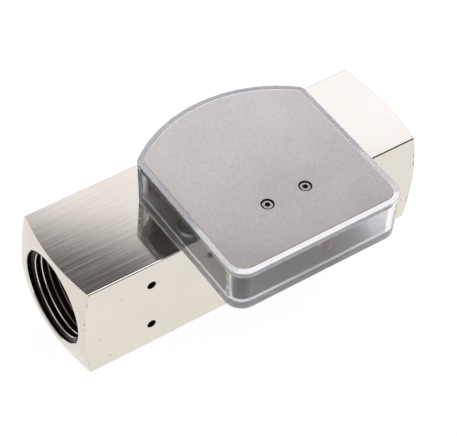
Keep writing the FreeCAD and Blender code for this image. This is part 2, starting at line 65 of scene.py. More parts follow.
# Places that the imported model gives
MM = 0.001
BODY_LOW, BODY_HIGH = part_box("flow_body")
AXIS_Z = (BODY_LOW.z + BODY_HIGH.z) / 2
LID_LOW, LID_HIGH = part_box("lid_plate")
LID_MIDDLE_X = (LID_LOW.x + LID_HIGH.x) / 2
HINGE = next(j for j in frame["joints"] if j["type"] == "hinge")
PIVOT = Vector((HINGE["pos_m"][0], HINGE["pos_m"][1], 0))
SCALE_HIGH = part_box("scale_strip")[1]
SCALE_R = SCALE_HIGH.y - PIVOT.y
MOUNTS = {mount["name"]: mount for mount in frame["record"]["mounts"]}
PORT_R = MOUNTS["inlet_port"]["dims"]["r_mm"] * MM
SIDE_HOLES = MOUNTS["side_holes"]
SIDE_HOLE_R = SIDE_HOLES["dims"]["hole_r_mm"] * MM
SIDE_HOLE_RISE = Vector((0, 0, SIDE_HOLES["dims"]["spacing_y_mm"] * MM / 2))
SIDE_HOLE_PLACES = [Vector(SIDE_HOLES["pos_m"]) + SIDE_HOLE_RISE * side for side in (-1, 1)]

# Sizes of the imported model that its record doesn't list
END_LAND = 0.8 * MM
END_R = (BODY_HIGH.z - BODY_LOW.z) / 2 - END_LAND
END_CHAMFER = math.radians(15)
LID_SCREW = {"head_dia": 3.8 * MM, "head_height": 1.8 * MM, "shank_dia": 2.0 * MM, "socket": 1.5 * MM}
HOUSING_SCREW = {"head_dia": 7.0 * MM, "head_height": 2.6 * MM, "shank_dia": 4.0 * MM, "socket": 2.5 * MM}
SCALE_START = math.radians(120)
SCALE_SWEEP = math.radians(60)

# Scale lines, as shares of the longest and of the finest
MIDDLING_LENGTH = 0.75
SHORT_LENGTH = 0.5
BOLD_WIDTH = 1.4

# Where most of a noise's values lie
NOISE_SPREAD = (0.3, 0.7)

# Steps of the wound pieces
THREAD_STEPS_PER_TURN = 72
THREAD_FADE_STEPS = 18
BRIGHT_CREST_TURNS = 2.2
SPRING_STEPS_PER_TURN = 48
SPRING_WIRE_SIDES = 14

# Floor, camera and render limits
FLOOR_HALF_WIDTH = 4.0
SENSOR_WIDTH = 36.0
LIGHT_BOUNCES = 40

# Parts of the surround: a pair is where an edge begins and ends along a direction's unit vector
BEHIND_OBJECT = (0.30, 0.42)
CEILING_TILT = 0.12
CEILING_LIFT = 0.038
WALL_FADE_START = 0.70
WALL_FADE_SHARE = 0.82
HORIZON = (0.30, 0.62)
ZENITH = (0.93, 0.99)
CARD_FOOT = (0.0, 0.06)
CARD_TOP = (0.76, 0.84)
CARD_DEPTH = (-0.40, -0.28)
CARD_MIDDLE = 0.40
CARD_HALF_WIDTH = (0.12, 0.15)
CARD_WIDENING = (0.41, 0.45)
CARD_EXTRA_HEIGHT = 0.13
CARD_EXTRA_DEPTH = 0.36
LAMP_FOOT = (0.83, 0.88)
COOL_LIGHT_TOP = (0.705, 0.745)
COOL_LIGHT_COLOUR = (0.965, 0.965, 1.06)


# Settings that a user would change

class StageSettings(bpy.types.PropertyGroup):
    """Camera, floor and light."""
    azimuth: FloatProperty(name="Azimuth", description="Camera's turn about the object", subtype="ANGLE",
                           default=math.radians(-36.124))
    elevation: FloatProperty(name="Elevation", description="Camera's height above the horizon",
                             subtype="ANGLE", default=math.radians(48.389))
    roll: FloatProperty(name="Roll", description="Camera's turn about its own line of sight", subtype="ANGLE",
                        default=math.radians(2.964))
    distance: FloatProperty(name="Distance", description="From the camera to its target", subtype="DISTANCE",
                            default=0.58587)
    target: FloatVectorProperty(name="Target", description="Point that the camera looks at", subtype="XYZ",
                                size=3, default=(-0.0091336, -0.016304, 0.040))
    lens: FloatProperty(name="Lens", description="Focal length in millimetres on a 36 mm sensor",
                        default=141.64)
    floor_colour: FloatVectorProperty(name="Floor", description="Colour of the floor", subtype="COLOR",
                                      size=3, default=(0.14, 0.14, 0.14))
    floor_glow: FloatProperty(name="Floor Glow", description="Light that comes up through the table",
                              default=0.895)
    wall_light: FloatProperty(name="Wall Light", description="Brightness of the white surround", default=1.4)
    wall_colour: FloatVectorProperty(name="Wall", description="Colour of the surround", subtype="COLOR",
                                     size=3, default=(1.0, 0.985, 1.04))
    ceiling_share: FloatProperty(name="Ceiling Share", subtype="FACTOR", default=0.11,
                                 description="Brightness of the ceiling as a share of the wall's")
    ceiling_start: FloatProperty(name="Ceiling Start", subtype="FACTOR", default=0.739,
                                 description="Height where the surround begins to darken")
    ceiling_end: FloatProperty(name="Ceiling End", subtype="FACTOR", default=0.767,
                               description="Height where the surround is darkest")
    horizon_share: FloatProperty(name="Horizon Share", subtype="FACTOR", default=0.35,
                                 description="Brightness at the horizon as a share of the wall's")
    zenith_share: FloatProperty(name="Zenith Share", subtype="FACTOR", default=0.5,
                                description="Brightness straight above as a share of the wall's")
    card_share: FloatProperty(name="Card Share", subtype="FACTOR", default=0.03,
                              description="Brightness of the dark card as a share of the wall's")
    lamp_light: FloatProperty(name="Lamp Light", description="Brightness of the lamp overhead", default=0.9)


class BodySettings(bpy.types.PropertyGroup):
    """Plated bar and its port threads."""
    plate_colour: FloatVectorProperty(name="Plate", description="Colour of the nickel plate", subtype="COLOR",
                                      size=3, default=(0.745, 0.703, 0.622))
    # Painted shade: the near black colour of the walls of the ports and side holes.
    bore_colour: FloatVectorProperty(name="Bore", description="Colour of the bare metal inside",
                                     subtype="COLOR", size=3, default=(0.046, 0.034, 0.021))
    # Painted shade: the darker colour of the crests deeper in the port.
    crest_colour: FloatVectorProperty(name="Crest", description="Colour of the thread's inner crests",
                                      subtype="COLOR", size=3, default=(0.20, 0.15, 0.11))
    thread_pitch: FloatProperty(name="Thread Pitch", description="Pitch of the port thread",
                                subtype="DISTANCE", default=2.309 * MM)
    thread_height: FloatProperty(name="Thread Height", description="From the thread's root to its crest",
                                 subtype="DISTANCE", default=1.479 * MM)
    thread_start: FloatProperty(name="Thread Start", description="From the port's mouth to the first turn",
                                subtype="DISTANCE", default=1.2 * MM)
    thread_length: FloatProperty(name="Thread Length", description="Length of thread", subtype="DISTANCE",
                                 default=14.4 * MM)


class HousingSettings(bpy.types.PropertyGroup):
    """Clear housing."""
    plastic_colour: FloatVectorProperty(name="Plastic", description="Colour of the clear plastic",
                                        subtype="COLOR", size=3, default=(0.95, 0.955, 0.965))
    rim_colour: FloatVectorProperty(name="Rim", description="Colour of the misted rim", subtype="COLOR",
                                    size=3, default=(0.96, 0.965, 0.98))
    # Painted light: the milky white front of the rim stands in for the light that the clear wall carries up from
    # the floor.
    frost_colour: FloatVectorProperty(name="Frost", description="Colour of the frosted front of the rim",
                                      subtype="COLOR", size=3, default=(1.0, 0.99, 0.965))


class LidSettings(bpy.types.PropertyGroup):
    """Aluminium lid and floor plate."""
    lid_colour: FloatVectorProperty(name="Aluminium", description="Colour of the satin aluminium",
                                    subtype="COLOR", size=3, default=(0.540, 0.514, 0.480))
    plate_colour: FloatVectorProperty(name="Floor Plate", description="Colour of the plate under the pointer",
                                      subtype="COLOR", size=3, default=(0.46, 0.46, 0.47))


class ScrewSettings(bpy.types.PropertyGroup):
    """Socket screws."""
    flutes: IntProperty(name="Flutes", description="Grooves round the head", default=30)
    flute_depth: FloatProperty(name="Flute Depth", description="Depth of the grooves", subtype="DISTANCE",
                               default=0.09 * MM)
    edge_round: FloatProperty(name="Edge Round", description="Rounding of the edges", subtype="DISTANCE",
                              default=0.25 * MM)
    # Painted shade in the screws' sockets and round their heads.
    recess_colour: FloatVectorProperty(name="Recess", description="Colour of the dark recesses",
                                       subtype="COLOR", size=3, default=(0.02, 0.02, 0.02))


class ScaleSettings(bpy.types.PropertyGroup):
    """Printed scale."""
    divisions: IntProperty(name="Divisions", description="Number of fine divisions", default=20)
    numbers: IntProperty(name="Numbers", description="Number of steps between the first and last number",
                         default=5)
    full_reading: IntProperty(name="Full Reading", description="Last number", default=100)
    line_length: FloatProperty(name="Line Length", description="Length of the longest lines",
                               subtype="DISTANCE", default=2.4 * MM)
    line_width: FloatProperty(name="Line Width", description="Width of the fine lines", subtype="DISTANCE",
                              default=0.24 * MM)
    line_margin: FloatProperty(name="Line Margin", description="From the strip's top to the lines",
                               subtype="DISTANCE", default=0.2 * MM)
    number_size: FloatProperty(name="Number Size", description="Size of the type", subtype="DISTANCE",
                               default=3.0 * MM)
    number_drop: FloatProperty(name="Number Drop", description="From the strip's top to the numbers' foot",
                               subtype="DISTANCE", default=5.4 * MM)
    ink_height: FloatProperty(name="Ink Height", description="Height of the print above the strip",
                              subtype="DISTANCE", default=0.03 * MM)
    ink_colour: FloatVectorProperty(name="Ink", description="Colour of the print", subtype="COLOR", size=3,
                                    default=(0.015, 0.015, 0.018))
    strip_colour: FloatVectorProperty(name="Strip", description="Colour of the strip", subtype="COLOR",
                                      size=3, default=(0.86, 0.86, 0.84))


class MovementSettings(bpy.types.PropertyGroup):
    """Inner parts: their metals and plastics, and the spring."""
    steel_colour: FloatVectorProperty(name="Steel", description="Colour of the stainless steel",
                                      subtype="COLOR", size=3, default=(0.62, 0.61, 0.59))
    brass_colour: FloatVectorProperty(name="Brass", description="Colour of the brass", subtype="COLOR",
                                      size=3, default=(0.72, 0.56, 0.28))
    bronze_colour: FloatVectorProperty(name="Bronze", description="Colour of the bearings", subtype="COLOR",
                                       size=3, default=(0.48, 0.33, 0.17))
    magnet_colour: FloatVectorProperty(name="Magnet", description="Colour of the ferrite", subtype="COLOR",
                                       size=3, default=(0.06, 0.06, 0.065))
    pointer_colour: FloatVectorProperty(name="Pointer", description="Colour of the pointer", subtype="COLOR",
                                        size=3, default=(0.22, 0.022, 0.025))
    spring_wire: FloatProperty(name="Spring Wire", description="Diameter of the spring's wire",
                               subtype="DISTANCE", default=1.5 * MM)
    spring_turns: FloatProperty(name="Spring Turns", description="Turns of the spring", default=5.5)


# Node trees and the effects that materials share

class Graph:
    """One node tree, with short ways to add nodes to it and join them."""

    def __init__(self, tree):
        self.nodes = tree.nodes
        self.links = tree.links

    def feed(self, socket, value):
        """Joins a socket to another one, or sets its plain value."""
        if isinstance(value, bpy.types.NodeSocket):
            self.links.new(value, socket)
        else:
            socket.default_value = value

    def add(self, kind, **inputs):
        """New node with its inputs fed by name."""
        node = self.nodes.new("ShaderNode" + kind)
        for label, value in inputs.items():
            self.feed(node.inputs[label.replace("_", " ")], value)
        return node

    def operate(self, kind, operation, values):
        """New math or vector math node with its operands."""
        node = self.nodes.new(kind)
        node.operation = operation
        for socket, value in zip(node.inputs, values):
            self.feed(socket, value)
        return node.outputs

    def math(self, operation, *values):
        """Result of an operation on one or two values."""
        return self.operate("ShaderNodeMath", operation, values)["Value"]

    def vector(self, operation, *values):
        """Outputs of an operation on one or two vectors."""
        return self.operate("ShaderNodeVectorMath", operation, values)

    def times(self, first, *others):
        """Product of several values."""
        for other in others:
            first = self.math("MULTIPLY", first, other)
        return first

    def inverse(self, mask):
        """One minus a mask."""
        return self.math("SUBTRACT", 1.0, mask)

    def ramp(self, value, low, high, to_low, to_high):
        """Smooth remap of a value."""
        node = self.add("MapRange", Value=value, From_Min=low, From_Max=high, To_Min=to_low, To_Max=to_high)
        node.interpolation_type = "SMOOTHSTEP"
        return node.outputs["Result"]

    def noise(self, vector, scale, detail=3.0, roughness=0.5):
        """Noise value at a vector."""
        node = self.add("TexNoise", Vector=vector, Scale=scale, Detail=detail, Roughness=roughness)
        return node.outputs["Fac"]

    def mix(self, mask, first, second):
        """Two colours by a mask; each is a colour or a socket."""
        node = self.nodes.new("ShaderNodeMix")
        node.data_type = "RGBA"
        self.feed(node.inputs["Factor"], mask)
        for label, value in (("A", first), ("B", second)):
            self.feed(next(s for s in node.inputs if s.name == label and s.type == "RGBA"), value)
        return next(s for s in node.outputs if s.type == "RGBA")

    def bump(self, height, distance):
        """Bump normal from a height."""
        return self.add("Bump", Height=height, Distance=distance).outputs["Normal"]

    def parts(self, vector):
        """X, Y and Z of a vector."""
        return list(self.add("SeparateXYZ", Vector=vector).outputs)

    def effect(self, name, vector, **values):
        """Outputs of a shared effect at a vector, with its own values."""
        node = self.nodes.new("ShaderNodeGroup")
        node.node_tree = effect_tree(name)
        for label, value in values.items():
            self.feed(node.inputs[label], value)
        self.feed(node.inputs["Vector"], vector)
        return node.outputs


def new_group(name, inputs, outputs):
    """Empty node group with a vector and other named inputs; gives its tree, its graph and both ends."""
    tree = bpy.data.node_groups.new(name, "ShaderNodeTree")
    tree.interface.new_socket(name="Vector", in_out="INPUT", socket_type="NodeSocketVector")
    for label, default in inputs.items():
        kind = "NodeSocketFloat" if isinstance(default, float) else "NodeSocketVector"
        socket = tree.interface.new_socket(name=label, in_out="INPUT", socket_type=kind)
        socket.default_value = default
    for label in outputs:
        tree.interface.new_socket(name=label, in_out="OUTPUT", socket_type="NodeSocketFloat")
    graph = Graph(tree)
    start = graph.nodes.new("NodeGroupInput").outputs
    end = graph.nodes.new("NodeGroupOutput").inputs
    return tree, graph, start, end


def streaks_group():
    """Drawn lines along one axis: stretched noise, coarse and fine."""
    tree, graph, start, end = new_group(
        "drawn_streaks", {"Stretch": (25.0, 900.0, 900.0)}, ["Height", "Fine"])
    stretched = graph.vector("MULTIPLY", start["Vector"], start["Stretch"])["Vector"]
    coarse = graph.noise(stretched, 1.0, 2.0)
    fine = graph.noise(stretched, 4.0, 3.0, 0.6)
    graph.feed(end["Height"], graph.math("ADD", coarse, graph.times(fine, 0.25)))
    graph.feed(end["Fine"], fine)
    return tree


def specks_group():
    """Sparse small dots, such as pits and dust."""
    tree, graph, start, end = new_group(
        "sparse_specks", {"Scale": 250.0, "Size": 0.12, "Share": 0.1}, ["Mask"])
    cells = graph.add("TexVoronoi", Vector=start["Vector"], Scale=start["Scale"]).outputs
    dot = graph.math("LESS_THAN", cells["Distance"], start["Size"])
    pick = graph.add("SeparateColor", Color=cells["Color"]).outputs["Red"]
    graph.feed(end["Mask"], graph.times(dot, graph.math("LESS_THAN", pick, start["Share"])))
    return tree


def tone_group():
    """Soft patches, for uneven colour and smudges."""
    tree, graph, start, end = new_group("soft_tone", {"Scale": 40.0}, ["Mask"])
    cloud = graph.noise(start["Vector"], start["Scale"])
    graph.feed(end["Mask"], graph.ramp(cloud, 0.35, 0.65, 0.0, 1.0))
    return tree


def grain_group():
    """Fine even grain, such as satin or sintered metal."""
    tree, graph, start, end = new_group("fine_grain", {"Scale": 3000.0}, ["Height"])
    graph.feed(end["Height"], graph.noise(start["Vector"], start["Scale"], 2.0))
    return tree


def radius_group():
    """Distance from a line through a centre; the weights leave out the line's own direction."""
    tree, graph, start, end = new_group(
        "distance_from_line", {"Centre": (0.0, 0.0, 0.0), "Weights": (1.0, 1.0, 0.0)}, ["Radius"])
    offset = graph.vector("SUBTRACT", start["Vector"], start["Centre"])["Vector"]
    across = graph.vector("MULTIPLY", offset, start["Weights"])["Vector"]
    graph.feed(end["Radius"], graph.vector("LENGTH", across)["Value"])
    return tree


EFFECT_MAKERS = {"streaks": streaks_group, "specks": specks_group, "tone": tone_group, "grain": grain_group,
                 "radius": radius_group}
EFFECTS = {}


def effect_tree(name):
    """Shared effect by name, built on first use."""
    if name not in EFFECTS:
        EFFECTS[name] = EFFECT_MAKERS[name]()
    return EFFECTS[name]


# Materials

def new_material(name, **constants):
    """Material with one Principled shader; gives its graph, the shader's inputs and object coordinates."""
    made = bpy.data.materials.new(name)
    made.use_nodes = True
    graph = Graph(made.node_tree)
    shader = graph.nodes["Principled BSDF"].inputs
    for label, value in constants.items():
        shader[label.replace("_", " ")].default_value = value
    return made, graph, shader, graph.add("TexCoord").outputs["Object"]


def colour(rgb):
    """Colour with full alpha."""
    return (rgb[0], rgb[1], rgb[2], 1.0)


def shade(rgb, amount):
    """Colour made lighter or darker."""
    return colour([channel * amount for channel in rgb])


def tint(rgb, amounts):
    """Colour with each channel made lighter or darker by itself."""
    return colour([channel * amount for channel, amount in zip(rgb, amounts)])


def bore_mask(graph, coords, port_radius, y):
    """Where the walls of the ports and of the two side holes are."""
    skin = 0.05 * MM
    half_depth = 4.0 * MM
    inside = graph.math("LESS_THAN", port_radius, PORT_R + skin)
    off_middle = graph.math("ABSOLUTE", graph.math("SUBTRACT", y, BODY_LOW.y + half_depth))
    behind_face = graph.math("LESS_THAN", off_middle, half_depth - skin)
    for place in SIDE_HOLE_PLACES:
        hole = graph.effect("radius", coords, Centre=place, Weights=(1.0, 0.0, 1.0))["Radius"]
        near = graph.math("LESS_THAN", hole, SIDE_HOLE_R + 0.02 * MM)
        inside = graph.math("MAXIMUM", inside, graph.times(near, behind_face))
    return inside


def end_masks(graph, port_radius, out):
    """Where the bar's ends are turned, and the arris beside the turned faces."""
    past_land = graph.math("MAXIMUM", graph.math("SUBTRACT", port_radius, END_R), 0.0)
    reach = graph.math("ADD", out, graph.times(past_land, math.tan(END_CHAMFER)))
    turned = graph.math("GREATER_THAN", reach, BODY_HIGH.x - 0.12 * MM)
    arris = graph.ramp(reach, BODY_HIGH.x - 0.5 * MM, BODY_HIGH.x - 0.3 * MM, 0.0, 1.0)
    return turned, graph.times(arris, graph.inverse(turned))


def finish_shader(graph, shader, base, roughness, normal):
    """Feeds the shader its colour, roughness and normal."""
    for label, value in (("Base Color", base), ("Roughness", roughness), ("Normal", normal)):
        graph.feed(shader[label], value)


def nickel_material(rgb, bore_shade_rgb):
    """Bright nickel plate with streaks, soft patches, pits on the front and nicked ends; painted shade makes the
    bores near black.
    """
    made, graph, shader, coords = new_material("bright_nickel", Metallic=1.0)
    x, y, _ = graph.parts(coords)
    out = graph.math("ABSOLUTE", x)
    port = graph.effect("radius", coords, Centre=(0.0, 0.0, AXIS_Z), Weights=(0.0, 1.0, 1.0))["Radius"]
    inside = bore_mask(graph, coords, port, y)
    turned, arris = end_masks(graph, port, out)
    streaks = graph.effect("streaks", coords, Stretch=(8.0, 480.0, 480.0))
    tone = graph.effect("tone", coords, Scale=45.0)["Mask"]
    nicks = graph.ramp(graph.noise(coords, 420.0, 2.0), 0.63, 0.69, 0.0, 1.0)
    pits = graph.effect("specks", coords, Scale=210.0, Size=0.065, Share=0.26)["Mask"]
    on_front = graph.math("LESS_THAN", y, BODY_LOW.y + 0.5 * MM)
    base = graph.mix(tone, shade(rgb, 0.97), colour(rgb))
    base = graph.mix(turned, base, tint(rgb, (0.92, 0.905, 0.90)))
    base = graph.mix(arris, base, shade(rgb, 0.90))
    base = graph.mix(graph.times(arris, nicks), base, shade(rgb, 0.25))
    base = graph.mix(graph.times(pits, on_front), base, shade(rgb, 0.4))
    # Painted shade: the walls of the ports and side holes are near black, blackest near the mouths.
    near_mouth = graph.ramp(out, BODY_HIGH.x - 6.0 * MM, BODY_HIGH.x - 2.5 * MM, 0.0, 1.0)
    bore = graph.mix(near_mouth, shade(bore_shade_rgb, 2.6), shade(bore_shade_rgb, 0.25))
    smooth = graph.ramp(streaks["Fine"], *NOISE_SPREAD, 0.04, 0.10)
    dull = graph.times(graph.math("ADD", inside, graph.times(turned, 0.4)), 0.25)
    finish_shader(graph, shader, graph.mix(inside, base, bore), graph.math("ADD", smooth, dull),
                  graph.bump(streaks["Height"], 2.6e-6))
    return made


def clear_material(name, rgb, clearness, rough):
    """Moulded plastic with faint smudges and upright waves; less clearness makes it milky."""
    made, graph, shader, coords = new_material(
        name, Transmission_Weight=clearness, IOR=1.49, Base_Color=colour(rgb))
    smudges = graph.effect("tone", coords, Scale=90.0)["Mask"]
    waves = graph.effect("streaks", coords, Stretch=(420.0, 420.0, 25.0))["Height"]
    graph.feed(shader["Roughness"], graph.ramp(smudges, 0.0, 1.0, rough, rough + 0.035))
    graph.feed(shader["Normal"], graph.bump(waves, 40e-6))
    return made


def satin_material(rgb):
    """Satin aluminium with a painted reflection, paler towards the back left, warm patches and brushed lines;
    painted shade on every face lower than the lid's top edge.
    """
    made, graph, shader, coords = new_material("satin_aluminium", Metallic=1.0)
    tone = graph.effect("tone", coords, Scale=33.0)["Mask"]
    grain = graph.effect("grain", coords, Scale=2500.0)["Height"]
    brushed = graph.effect("streaks", coords, Stretch=(700.0, 120.0, 120.0))["Fine"]
    # Painted reflection: paler towards the back left and darker towards the front right; the shaded and lit copies
    # of the aluminium are mixed by it and by the brushed lines.
    back_left = (-0.65, 0.76, 0.0)
    painted_sheen = graph.ramp(graph.vector("DOT_PRODUCT", coords, back_left)["Value"], -60 * MM, 20 * MM, 0.0, 0.68)
    lines = graph.ramp(brushed, 0.35, 0.65, 0.0, 0.32)
    warm = tint(rgb, (1.03, 1.0, 0.995))
    dark = graph.mix(tone, shade(rgb, 0.78), shade(warm, 0.86))
    light = graph.mix(tone, shade(rgb, 1.10), shade(warm, 1.19))
    # Painted shade: every face lower than the lid's top edge (the sides, the underside and the counterbores) is
    # made half as bright.
    painted_shade_below = graph.math("LESS_THAN", graph.parts(coords)[2], LID_HIGH.z - 0.16 * MM)
    base = graph.mix(painted_shade_below, graph.mix(graph.math("ADD", painted_sheen, lines), dark, light), shade(rgb, 0.5))
    finish_shader(graph, shader, base, graph.ramp(grain, *NOISE_SPREAD, 0.235, 0.255),
                  graph.bump(grain, 0.4e-6))
    return made


def plate_material(rgb):
    """Satin plate under the pointer, with painted light that makes it paler towards both side walls and darker in
    the middle.
    """
    made, graph, shader, coords = new_material("grey_plate", Metallic=1.0)
    grain = graph.effect("grain", coords, Scale=1800.0)["Height"]
    off_middle = graph.math("ABSOLUTE", graph.math("SUBTRACT", graph.parts(coords)[0], LID_MIDDLE_X))
    # Painted light: pale near the side walls, where light comes through them, and shaded in the middle under the
    # lid.
    base = graph.mix(graph.ramp(off_middle, 0.0, 28 * MM, 0.0, 1.0), shade(rgb, 0.68), shade(rgb, 1.95))
    finish_shader(graph, shader, base, graph.ramp(grain, *NOISE_SPREAD, 0.36, 0.46), graph.bump(grain, 2e-6))
    return made


def turned_material(name, rgb, rough, lines=(2600.0, 60.0, 60.0)):
    """Turned metal with fine lines and uneven tone."""
    made, graph, shader, coords = new_material(name, Metallic=1.0)
    streaks = graph.effect("streaks", coords, Stretch=lines)
    tone = graph.effect("tone", coords, Scale=150.0)["Mask"]
    finish_shader(graph, shader, graph.mix(tone, shade(rgb, 0.9), colour(rgb)),
                  graph.ramp(streaks["Fine"], *NOISE_SPREAD, rough - 0.06, rough + 0.08),
                  graph.bump(streaks["Height"], 4e-6))
    return made


def moulded_material(name, rgb, rough):
    """Plastic, ferrite, ink and the painted shade of the screws' recesses, with a fine grain and uneven tone."""
    made, graph, shader, coords = new_material(name)
    tone = graph.effect("tone", coords, Scale=220.0)["Mask"]
    grain = graph.effect("grain", coords, Scale=1800.0)["Height"]
    finish_shader(graph, shader, graph.mix(tone, shade(rgb, 0.9), colour(rgb)),
                  graph.ramp(grain, *NOISE_SPREAD, rough - 0.06, rough + 0.08), graph.bump(grain, 2e-6))
    return made


MATERIALS = {}


def material(name):
    """Finish by name, built on first use from the settings."""
    scene = bpy.context.scene
    body = scene.flow_meter_body
    housing = scene.flow_meter_housing
    scale = scene.flow_meter_scale
    inner = scene.flow_meter_movement
    upright = (60.0, 60.0, 2600.0)
    makers = {
        "nickel": (nickel_material, body.plate_colour, body.bore_colour),
        "crest": (turned_material, "bright_crest", body.plate_colour, 0.16),
        "dull_crest": (turned_material, "dull_crest", body.crest_colour, 0.3),
        "clear": (clear_material, "clear_plastic", housing.plastic_colour, 0.995, 0.01),
        "frosted": (clear_material, "frosted_plastic", housing.frost_colour, 0.06, 0.22),
        "misted": (clear_material, "misted_plastic", housing.rim_colour, 0.64, 0.25),
        "satin": (satin_material, scene.flow_meter_lid.lid_colour),
        "grey": (plate_material, scene.flow_meter_lid.plate_colour),
        "steel": (turned_material, "stainless_steel", inner.steel_colour, 0.26),
        "screw": (turned_material, "bright_screw", shade(inner.steel_colour, 0.7), 0.22, upright),
        "recess": (moulded_material, "dark_recess", scene.flow_meter_screw.recess_colour, 0.5),
        "brass": (turned_material, "turned_brass", inner.brass_colour, 0.24),
        "bronze": (turned_material, "sintered_bronze", inner.bronze_colour, 0.42),
        "magnet": (moulded_material, "pressed_ferrite", inner.magnet_colour, 0.55),
        "red": (moulded_material, "red_plastic", inner.pointer_colour, 0.40),
        "white": (moulded_material, "white_plastic", scale.strip_colour, 0.50),
        "ink": (moulded_material, "black_ink", scale.ink_colour, 0.45),
    }
    if name not in MATERIALS:
        maker, *values = makers[name]
        MATERIALS[name] = maker(*values)
    return MATERIALS[name]


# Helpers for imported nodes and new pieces

def finish_nodes(names, finish):
    """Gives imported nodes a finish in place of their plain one."""
    for name in names:
        slots = frame["nodes"][name].material_slots
        if not slots:
            raise RuntimeError(f"{name} has no material slot")
        for slot in slots:
            slot.material = material(finish)


def cap_ends(bm, first, wound):
    """Closes both ends of a wound tube."""
    last = [v for v in wound["geom_last"] if isinstance(v, bmesh.types.BMVert)]
    for ring in (first, last):
        bmesh.ops.contextual_create(bm, geom=ring)


def new_piece(name, bm, finishes, body):
    """Object at the origin from a bmesh, with its finishes, body and material slot."""
    bmesh.ops.recalc_face_normals(bm, faces=bm.faces)
    mesh = bpy.data.meshes.new(name)
    bm.to_mesh(mesh)
    bm.free()
    for finish in finishes:
        mesh.materials.append(material(finish))
    piece = bpy.data.objects.new(name, mesh)
    bpy.context.scene.collection.objects.link(piece)
    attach(piece, body)
    return piece


# Operators, one for each piece or group of like pieces

class FLOWMETER_OT_stage(bpy.types.Operator):
    """Glowing floor, white surround with a darker ceiling, a lamp over a dark card, and the camera"""
    bl_idname = "flow_meter.stage"
    bl_label = "Stage"

    def execute(self, context):
        settings = context.scene.flow_meter_stage
        self.floor(context, settings)
        self.light(context, settings)
        self.camera(context, settings)
        context.scene.view_settings.view_transform = "Standard"
        for limit in ("max_bounces", "glossy_bounces", "transmission_bounces"):
            setattr(context.scene.cycles, limit, LIGHT_BOUNCES)
        return {"FINISHED"}

    def floor(self, context, settings):
        """Wide floor with its own light, as on a light table."""
        bm = bmesh.new()
        bmesh.ops.create_grid(bm, x_segments=1, y_segments=1, size=FLOOR_HALF_WIDTH)
        mesh = bpy.data.meshes.new("floor")
        bm.to_mesh(mesh)
        bm.free()
        floor = bpy.data.objects.new("floor", mesh)
        context.scene.collection.objects.link(floor)
        made = new_material("pale_floor", Roughness=0.7, Base_Color=colour(settings.floor_colour),
                            Emission_Color=colour((1.0, 1.0, 1.0)), Emission_Strength=settings.floor_glow)[0]
        mesh.materials.append(made)

    def light(self, context, settings):
        """White surround with darker parts taken out of it, and a lamp added."""
        world = bpy.data.worlds.new("studio")
        context.scene.world = world
        world.use_nodes = True
        graph = Graph(world.node_tree)
        background = graph.nodes["Background"].inputs
        across, side, height = graph.parts(graph.add("TexCoord").outputs["Generated"])
        behind = graph.ramp(side, *BEHIND_OBJECT, 0.0, 1.0)
        off_card = graph.math("ABSOLUTE", graph.math("SUBTRACT", across, CARD_MIDDLE))
        on_card = graph.ramp(off_card, *CARD_HALF_WIDTH, 1.0, 0.0)
        wider = graph.ramp(across, *CARD_WIDENING, 0.0, 1.0)
        light = graph.ramp(height, WALL_FADE_START, settings.ceiling_start, settings.wall_light,
                           WALL_FADE_SHARE * settings.wall_light)
        darker_parts = (
            graph.times(self.ceiling(graph, across, height, settings), behind),
            graph.times(self.card(graph, side, height, wider, settings), on_card),
            graph.ramp(height, *HORIZON, 1.0 - settings.horizon_share, 0.0),
            graph.ramp(height, *ZENITH, 0.0, 1.0 - settings.zenith_share),
        )
        for part in darker_parts:
            light = graph.times(light, graph.inverse(part))
        lamp = graph.ramp(height, *LAMP_FOOT, 0.0, settings.lamp_light)
        lamp = graph.times(lamp, on_card, graph.inverse(wider), graph.inverse(behind))
        graph.feed(background["Strength"], graph.math("ADD", light, lamp))
        above_cool = graph.ramp(height, *COOL_LIGHT_TOP, 0.0, 1.0)
        graph.feed(background["Color"],
                   graph.mix(above_cool, colour(COOL_LIGHT_COLOUR), colour(settings.wall_colour)))

    def ceiling(self, graph, across, height, settings):
        """Dark ceiling, a little lower on the left than on the right."""
        level = graph.math("SUBTRACT", height, graph.times(across, CEILING_TILT))
        level = graph.math("ADD", level, CEILING_LIFT)
        darkest = 1.0 - settings.ceiling_share
        return graph.ramp(level, settings.ceiling_start, settings.ceiling_end, 0.0, darkest)

    def card(self, graph, side, height, wider, settings):
        """Dark card in front of the object, taller and deeper towards the right."""
        foot = graph.ramp(height, *CARD_FOOT, 0.0, 1.0 - settings.card_share)
        from_top = graph.math("SUBTRACT", height, graph.times(wider, CARD_EXTRA_HEIGHT))
        from_front = graph.math("SUBTRACT", side, graph.times(wider, CARD_EXTRA_DEPTH))
        return graph.times(foot, graph.ramp(from_top, *CARD_TOP, 1.0, 0.0),
                           graph.ramp(from_front, *CARD_DEPTH, 1.0, 0.0))

    def camera(self, context, settings):
        """Camera that matches the photograph's view."""
        data = bpy.data.cameras.new("camera")
        data.sensor_width = SENSOR_WIDTH
        data.lens = settings.lens
        camera = bpy.data.objects.new("camera", data)
        context.scene.collection.objects.link(camera)
        a, e, r = settings.azimuth, settings.elevation, settings.roll
        back = Vector((math.sin(a) * math.cos(e), -math.cos(a) * math.cos(e), math.sin(e)))
        right = Vector((math.cos(a), math.sin(a), 0))
        up = back.cross(right)
        axes = Matrix((right * math.cos(r) + up * math.sin(r), up * math.cos(r) - right * math.sin(r), back))
        place = Vector(settings.target) + back * settings.distance
        camera.matrix_world = Matrix.Translation(place) @ axes.transposed().to_4x4()
        context.scene.camera = camera


class FLOWMETER_OT_plated_body(bpy.types.Operator):
    """Nickel plate on the bar"""
    bl_idname = "flow_meter.plated_body"
    bl_label = "Plated Body"

    def execute(self, context):
        finish_nodes(["flow_body"], "nickel")
        return {"FINISHED"}


